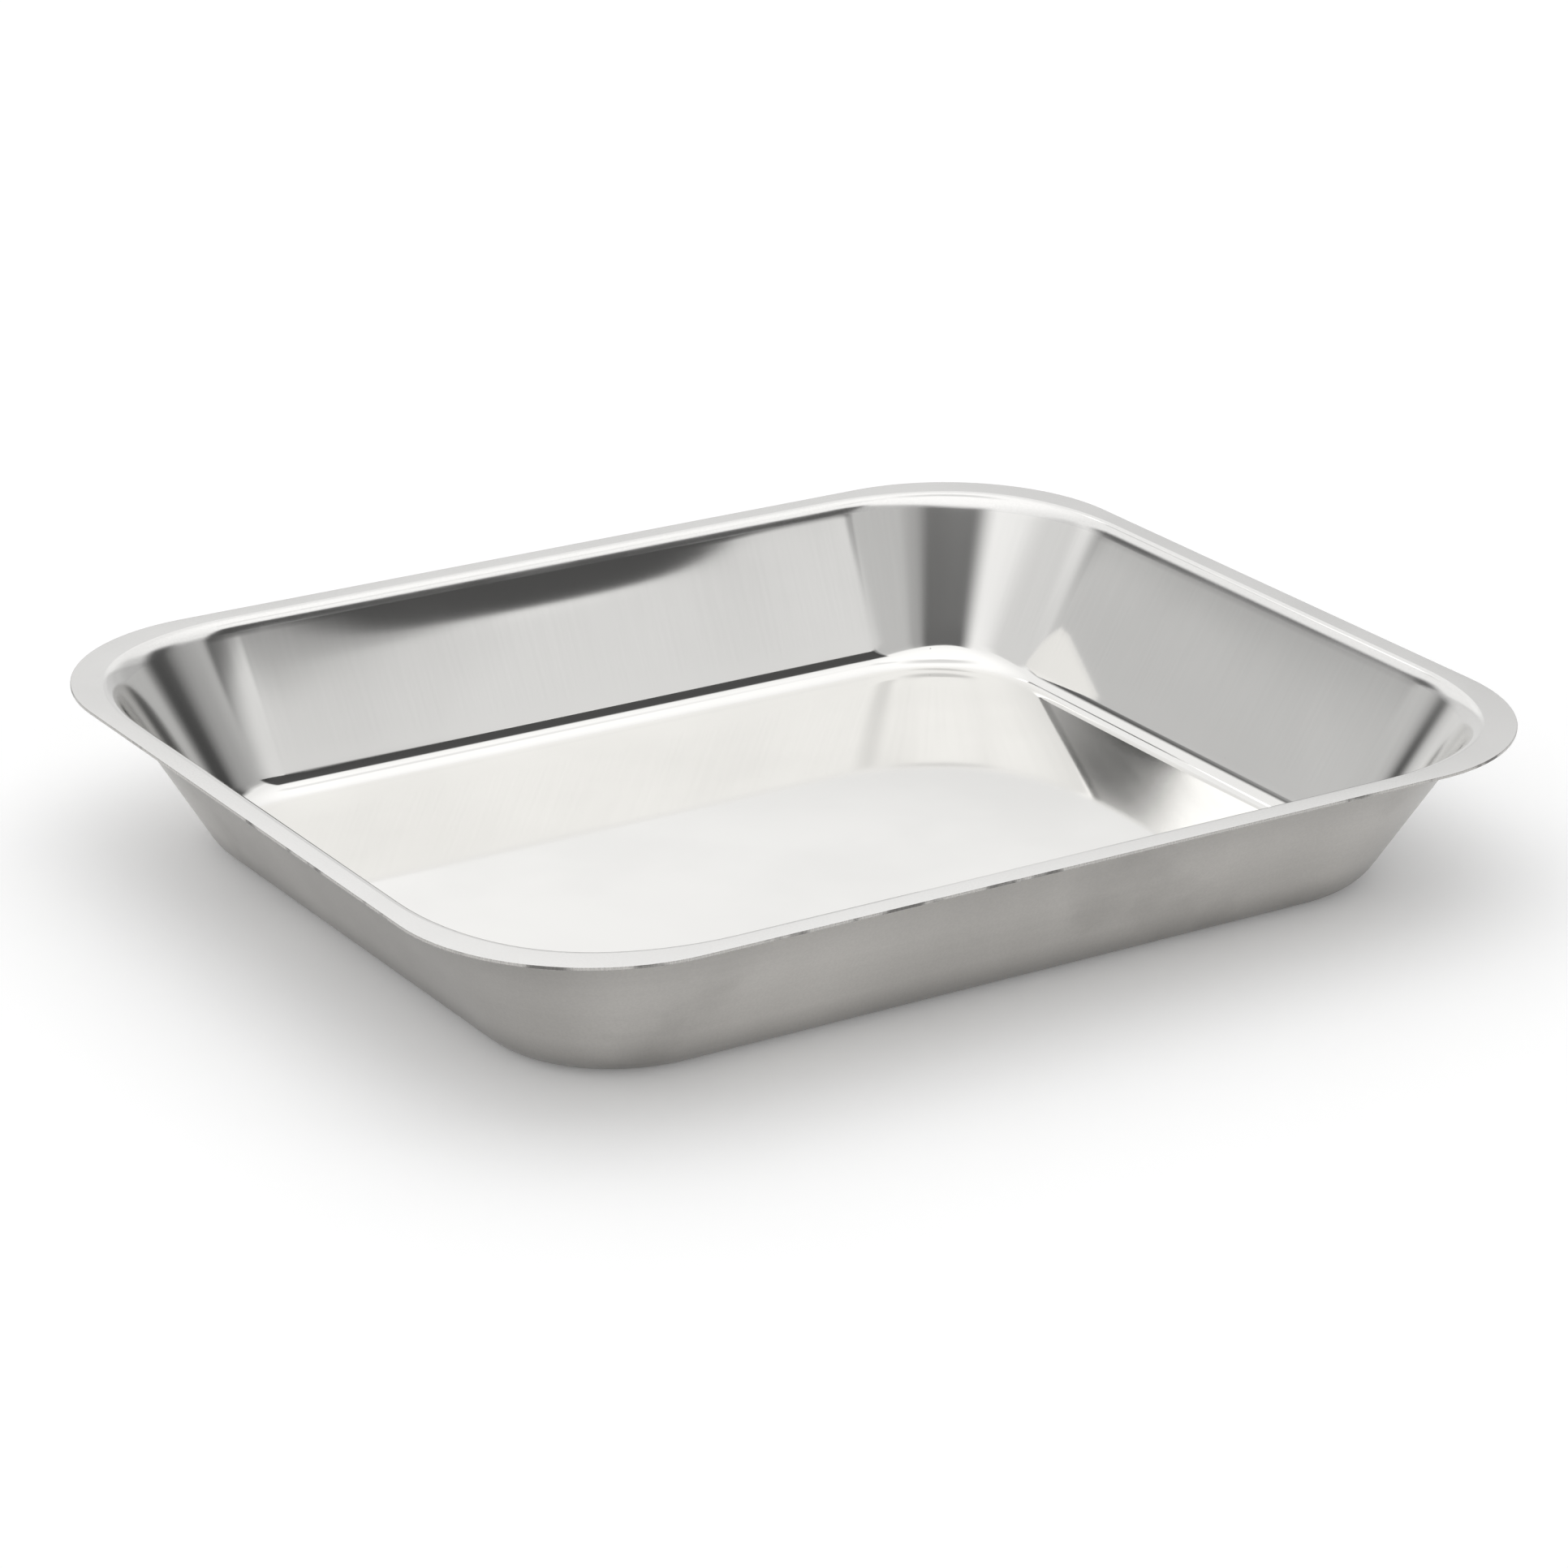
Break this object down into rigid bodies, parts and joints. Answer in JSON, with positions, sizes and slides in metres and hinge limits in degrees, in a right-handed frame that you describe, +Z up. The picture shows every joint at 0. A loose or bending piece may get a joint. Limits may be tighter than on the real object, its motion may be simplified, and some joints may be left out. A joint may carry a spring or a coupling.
{
  "type": "instrument tray",
  "caption": "Shallow rectangular tray pressed from one stainless steel sheet, with flared walls, rounded corners and a flat rim; holds instruments or dressings.",
  "frame": {"origin": "centre of the underside of the floor, where the tray stands on a table", "axes": "+Z up out of the mouth, X along the long side, Y along the short side"},
  "size_m": [0.3, 0.25, 0.041],
  "materials": {
    "stainless_steel": "polished inside and on the rim, satin outside"
  },
  "bodies": {
    "root": {"tray": "stainless_steel"}
  },
  "joints": []
}
